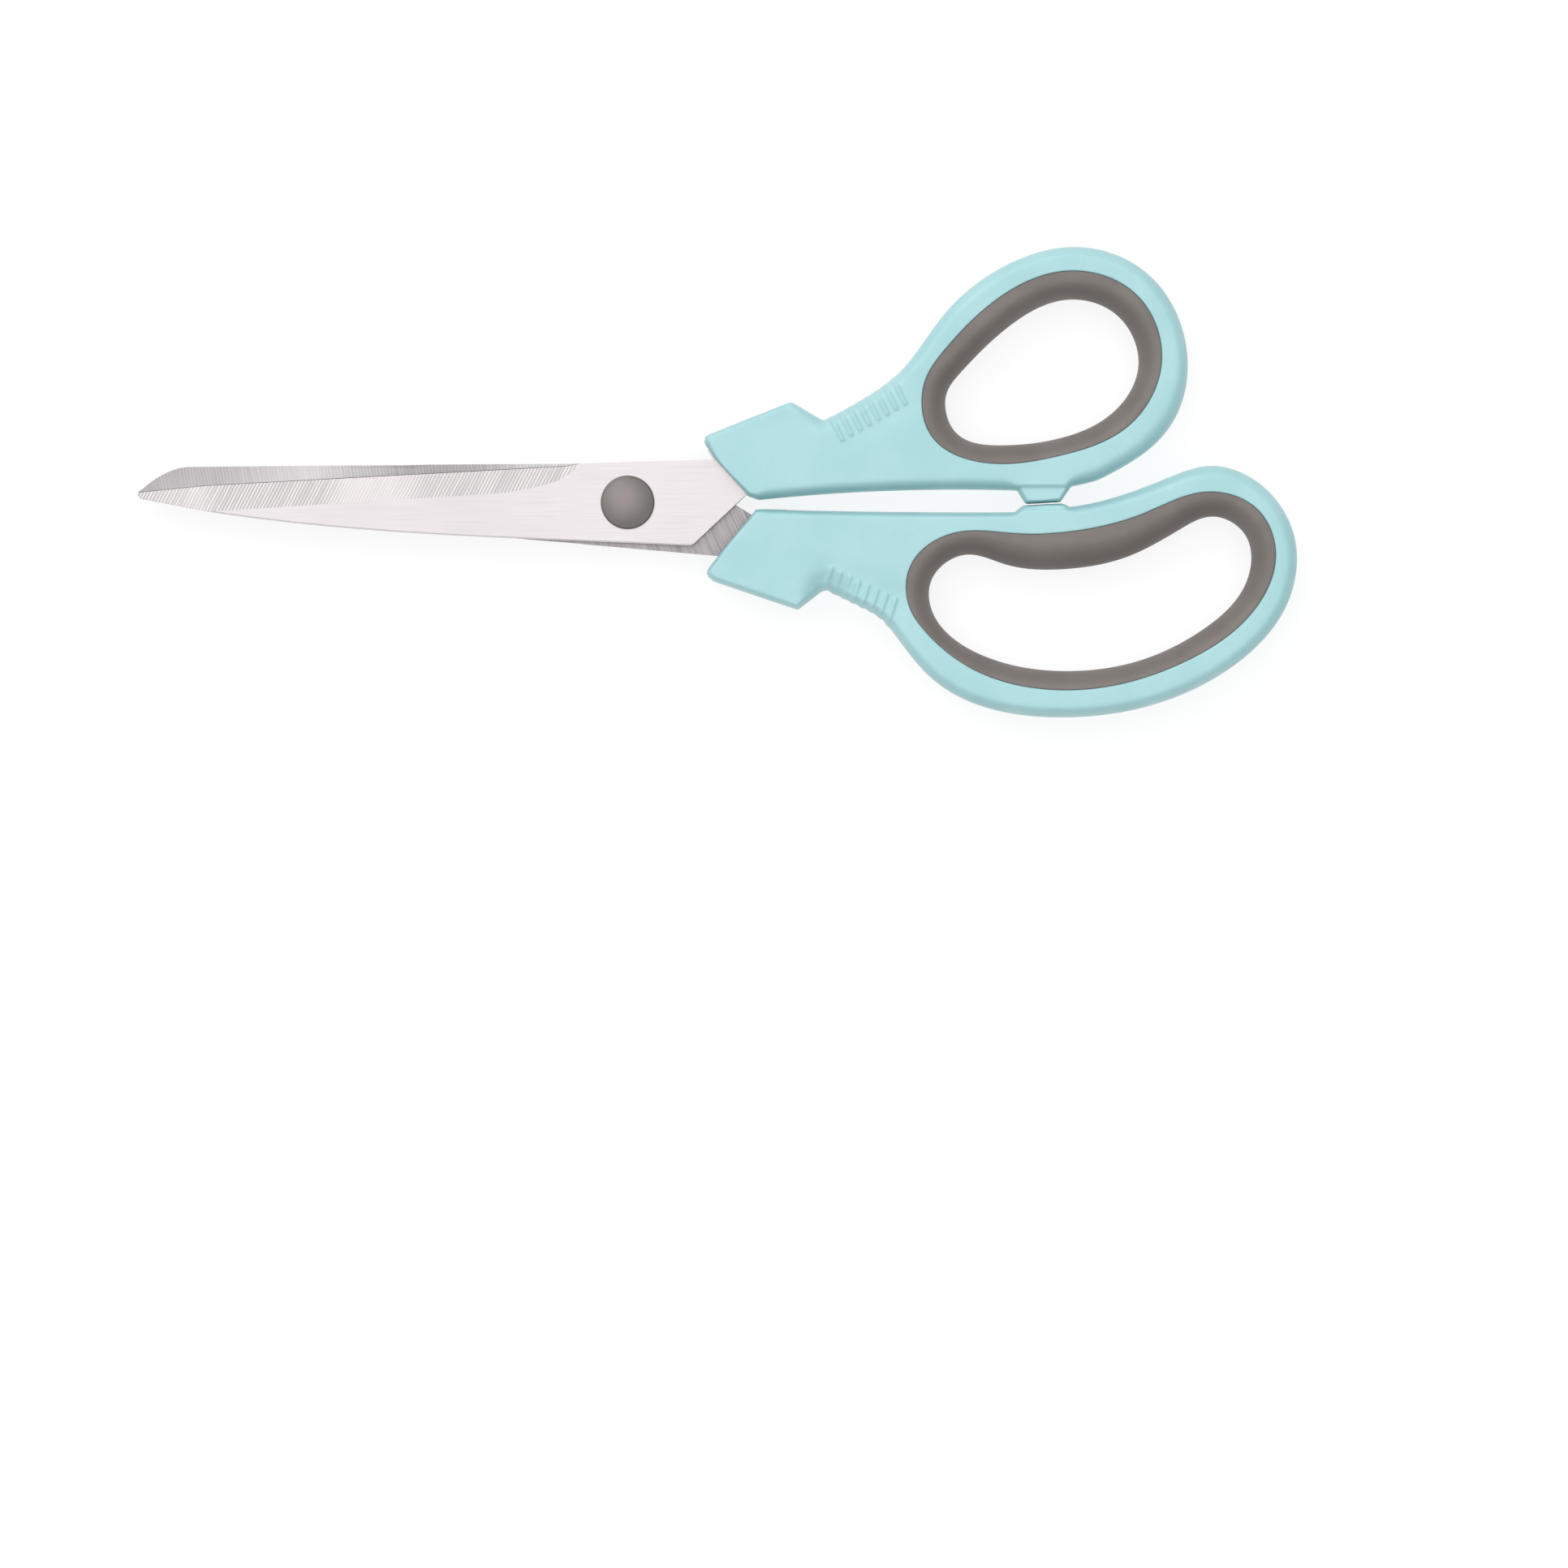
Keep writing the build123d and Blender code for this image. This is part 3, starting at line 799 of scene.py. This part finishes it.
BEVEL_LINE = ((-95.0, 1.45), (-78.5, 3.1), (-24.8, 6.0), (-17.5, 6.4), (-11.4, 6.73), (-8.5, 7.3))
BLADE_FINISHES = (FLAT, GRIND, BEVEL, EDGE, INNER, PAINTED_LIP_HIGHLIGHT)
IS_FLAT, IS_GRIND, IS_BEVEL, IS_EDGE, IS_INNER, IS_LIP_HIGHLIGHT = range(6)
RIDGE = 0.11                   # width of the dark line where the edge bevel starts
ROLL = 0.36                    # width of the rolled edge of the sheet
ROLL_LIP = 0.06                # fall of its lip, which carries a painted highlight
ROLL_MIDDLE = (0.05, 0.6)      # where the rounding's middle row falls, in shares of its width
ROLL_LEVEL, ROLL_UPRIGHT = 0.999, 0.2   # normal's Z of its faces that take their neighbours' finish; the faces between carry the painted highlight
ROLL_END_X, ROLL_TOP_Y = 23, 3     # only the spine, ahead of the handle, is rolled
SHORTEST_EDGE = 0.0005         # shorter edges are closed up
FACET_ANGLE = math.radians(0.3)    # CAD facets that meet flatter than this are joined
BLADE_SHARP = math.radians(30)
LEVEL = 0.99995                # a face is level if its normal's Z is more than this
UPRIGHT = 0.02                 # and upright if less than this
LINE_SLACK = 0.02              # a face's middle may lie this far short of the bevel's line


def from_pivot(place, side):
    """X and Y in millimetres from the pivot, mirrored on the turned-over blade."""
    return place.x / MM - PIVOT[0], (place.y / MM - PIVOT[1]) * side


def bevel_start(x):
    """Y of the line where the edge bevel leaves the primary grind."""
    return np.interp(x, *zip(*BEVEL_LINE))


def blade_face_kind(face, side):
    """Which of the blade's surfaces a face belongs to. side is -1 on the turned-over blade."""
    up = face.normal.z * side
    if up > LEVEL:
        return IS_FLAT
    if up < -LEVEL:
        return IS_INNER
    if abs(up) < UPRIGHT:
        return IS_EDGE
    x, y = from_pivot(face.calc_center_median(), side)
    return IS_BEVEL if y > bevel_start(x) - LINE_SLACK else IS_GRIND


def cut_bevel(work, place, normal):
    """Cuts the faces of the edge bevel along an upright plane."""
    faces = [face for face in work.faces if face.material_index == IS_BEVEL]
    parts = dict.fromkeys(faces)
    for face in faces:
        parts.update(dict.fromkeys(face.edges))
        parts.update(dict.fromkeys(face.verts))
    bmesh.ops.bisect_plane(work, geom=list(parts), dist=SAME_VERTEX,
                           plane_co=place, plane_no=normal)


def mark_ridge(work, side):
    """Gives the edge bevel a thin dark line where it leaves the primary grind."""
    for (x0, y0), (x1, y1) in zip(BEVEL_LINE, BEVEL_LINE[1:]):
        place = Vector((PIVOT[0] + x0, PIVOT[1] + side * (y0 + RIDGE), 0)) * MM
        cut_bevel(work, place, (1, 0, 0))
        cut_bevel(work, place, Vector((y0 - y1, side * (x1 - x0), 0)).normalized())
    for face in work.faces:
        x, y = from_pivot(face.calc_center_median(), side)
        if face.material_index == IS_BEVEL and y < bevel_start(x) + RIDGE:
            face.material_index = IS_EDGE


def blade_piece(name, node, body, side):
    """A blade: the CAD's own faces with their finishes, a dark line where the edge bevel starts and a
    rolled spine with a painted highlight on its lip.
    """
    work = bmesh.new()
    work.from_mesh(frame["nodes"][node].data)
    bmesh.ops.remove_doubles(work, verts=work.verts[:], dist=SAME_VERTEX)
    bmesh.ops.dissolve_limit(work, angle_limit=FACET_ANGLE, verts=work.verts[:],
                             edges=work.edges[:], use_dissolve_boundaries=False)
    for face in work.faces:
        face.material_index = blade_face_kind(face, side)
        face.smooth = True
    outer_face = IS_FLAT if side > 0 else IS_INNER

    def rolled(edge):
        kinds = {face.material_index for face in edge.link_faces}
        if kinds != {outer_face, IS_EDGE}:
            return False
        x, y = from_pivot((edge.verts[0].co + edge.verts[1].co) / 2, side)
        return x < ROLL_END_X and y < ROLL_TOP_Y

    mark_ridge(work, side)
    rim = [edge for edge in work.edges if rolled(edge)]
    top = max(vert.co.z for edge in rim for vert in edge.verts)
    made = bmesh.ops.bevel(work, geom=rim, offset=ROLL * MM, offset_type="OFFSET", segments=2,
                           profile=0.5, affect="EDGES", clamp_overlap=True, material=-1)
    for vert in made["verts"]:
        if ROLL_MIDDLE[0] < (top - vert.co.z) / MM / ROLL < ROLL_MIDDLE[1]:
            vert.co.z = top - ROLL_LIP * MM
    work.normal_update()
    # Faces of the rolled edge between level and upright get the painted highlight, steeper ones the
    # edge faces' painted shade.
    for face in made["faces"]:
        up = abs(face.normal.z)
        face.material_index = IS_LIP_HIGHLIGHT if up > ROLL_UPRIGHT else IS_EDGE
        if up > ROLL_LEVEL:
            face.material_index = outer_face
        face.smooth = True
    bmesh.ops.dissolve_degenerate(work, dist=SHORTEST_EDGE * MM, edges=work.edges[:])
    for edge in work.edges:
        faces = edge.link_faces
        if len(faces) == 2:
            apart = faces[0].material_index != faces[1].material_index
            edge.smooth = not (apart or edge.calc_face_angle(0) > BLADE_SHARP)
    mesh = bpy.data.meshes.new(name)
    work.to_mesh(mesh)
    work.free()
    piece = add_piece(name, mesh, body, node, *BLADE_FINISHES)


blade_piece("front_blade_ground", "front_blade", "thumb_half", 1)
blade_piece("rear_blade_ground", "rear_blade", "finger_half", -1)


# ------------------------------------------------------------------ pivot hardware

LATHE_STEPS = 128
LATHE_SHARP = math.radians(35)
CAP_RIM = 0.5                  # radius of a cap's rolled rim
CAP_BASE_IN, CAP_BASE_UP = 0.2, 0.22   # chamfer round its base
CAP_STEPS = 12                 # rings over its domed face
CAP_RIM_ANGLES = (15, 30, 45, 60, 75, 90)


def lathed(name, profile):
    """A body turned about the pivot axis from (radius, height) points, first and last on the axis."""
    work = bmesh.new()
    rings = []
    for radius, height in profile:
        if radius == 0:
            rings.append([work.verts.new((PIVOT[0] * MM, PIVOT[1] * MM, height * MM))])
            continue
        ring = []
        for k in range(LATHE_STEPS):
            angle = 2 * math.pi * k / LATHE_STEPS
            ring.append(work.verts.new(((PIVOT[0] + radius * math.cos(angle)) * MM,
                                        (PIVOT[1] + radius * math.sin(angle)) * MM, height * MM)))
        rings.append(ring)
    for inner, outer in zip(rings, rings[1:]):
        for k in range(LATHE_STEPS):
            after = (k + 1) % LATHE_STEPS
            corners = (inner[k % len(inner)], outer[k % len(outer)],
                       outer[after % len(outer)], inner[after % len(inner)])
            work.faces.new(list(dict.fromkeys(corners))).smooth = True
    bmesh.ops.recalc_face_normals(work, faces=work.faces[:])
    mesh = bpy.data.meshes.new(name)
    work.to_mesh(mesh)
    work.free()
    mesh.set_sharp_from_angle(angle=LATHE_SHARP)
    return mesh


def cap_profile(radius, top, base, dome):
    """A domed cap with a rolled rim, from the middle of its face to the middle of its base."""
    way = 1 if top > base else -1
    flat = radius - CAP_RIM
    profile = []
    for k in range(CAP_STEPS + 1):
        profile.append((flat * k / CAP_STEPS, top - way * dome * (k / CAP_STEPS) ** 2))
    for angle in np.radians(CAP_RIM_ANGLES):
        fall = dome + CAP_RIM * (1 - math.cos(angle))
        profile.append((flat + CAP_RIM * math.sin(angle), top - way * fall))
    profile += [(radius, base + way * CAP_BASE_UP), (radius - CAP_BASE_IN, base), (0.0, base)]
    return profile


for node, is_front, dome in (("front_cap", True, 0.7), ("rear_cap", False, 0.35)):
    low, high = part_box(node)
    top, base = (high.z, low.z) if is_front else (low.z, high.z)
    profile = cap_profile((high.x - low.x) / MM / 2, top / MM, base / MM, dome)
    cap = add_piece(node + "_moulded", lathed(node + "_moulded", profile), "thumb_half",
                    node, CAP)

for node, finish in (("pivot_screw", HARDWARE), ("spring_washer", HARDWARE),
                     ("pivot_nut", HARDWARE), ("blade_washer", NYLON)):
    for slot in frame["nodes"][node].material_slots:
        slot.material = finish.material


# ------------------------------------------------------------------ floor and light

FLOOR_HALF = 3.0               # metres
FLOOR_DROP = 0.0002            # metres; the floor lies this far under the object


def make_floor():
    """A floor that glows nearly white, so that shadows on it stay faint."""
    mesh = bpy.data.meshes.new("floor")
    corners = [(x * FLOOR_HALF, y * FLOOR_HALF, 0) for x, y in ((-1, -1), (1, -1), (1, 1), (-1, 1))]
    mesh.from_pydata(corners, [], [(0, 1, 2, 3)])
    floor = bpy.data.objects.new("floor", mesh)
    floor.location.z = -FLOOR_DROP
    bpy.context.scene.collection.objects.link(floor)
    nodes = Nodes("floor_white")
    nodes.set(Base_Color=(0.2, 0.2, 0.2, 1.0), Roughness=1.0, Specular_IOR_Level=0.0,
              Emission_Color=(1.0, 1.0, 1.0, 1.0), Emission_Strength=0.82)
    mesh.materials.append(nodes.material)


def area_light(name, place, aim, size, power):
    """A rectangle of light, in metres, that the camera doesn't see."""
    data = bpy.data.lights.new(name, "AREA")
    data.shape = "RECTANGLE"
    data.size, data.size_y = size
    data.energy = power
    light = bpy.data.objects.new(name, data)
    light.location = place
    light.rotation_mode = "QUATERNION"
    light.rotation_quaternion = (Vector(aim) - Vector(place)).to_track_quat("-Z", "Y")
    light.visible_camera = False
    bpy.context.scene.collection.objects.link(light)


make_floor()
area_light("key", place=(-0.9, 1.1, 1.2), aim=(0, 0, 0), size=(1.7, 1.3), power=12.0)
area_light("top", place=(0.0, 0.5, 1.6), aim=(0, 0.5, 0), size=(2.2, 3.2), power=29.0)

world = bpy.data.worlds.new("studio")
world.use_nodes = True
world.node_tree.nodes["Background"].inputs["Color"].default_value = (1.0, 1.0, 1.0, 1.0)
world.node_tree.nodes["Background"].inputs["Strength"].default_value = 0.38
bpy.context.scene.world = world
bpy.context.scene.view_settings.view_transform = "Standard"
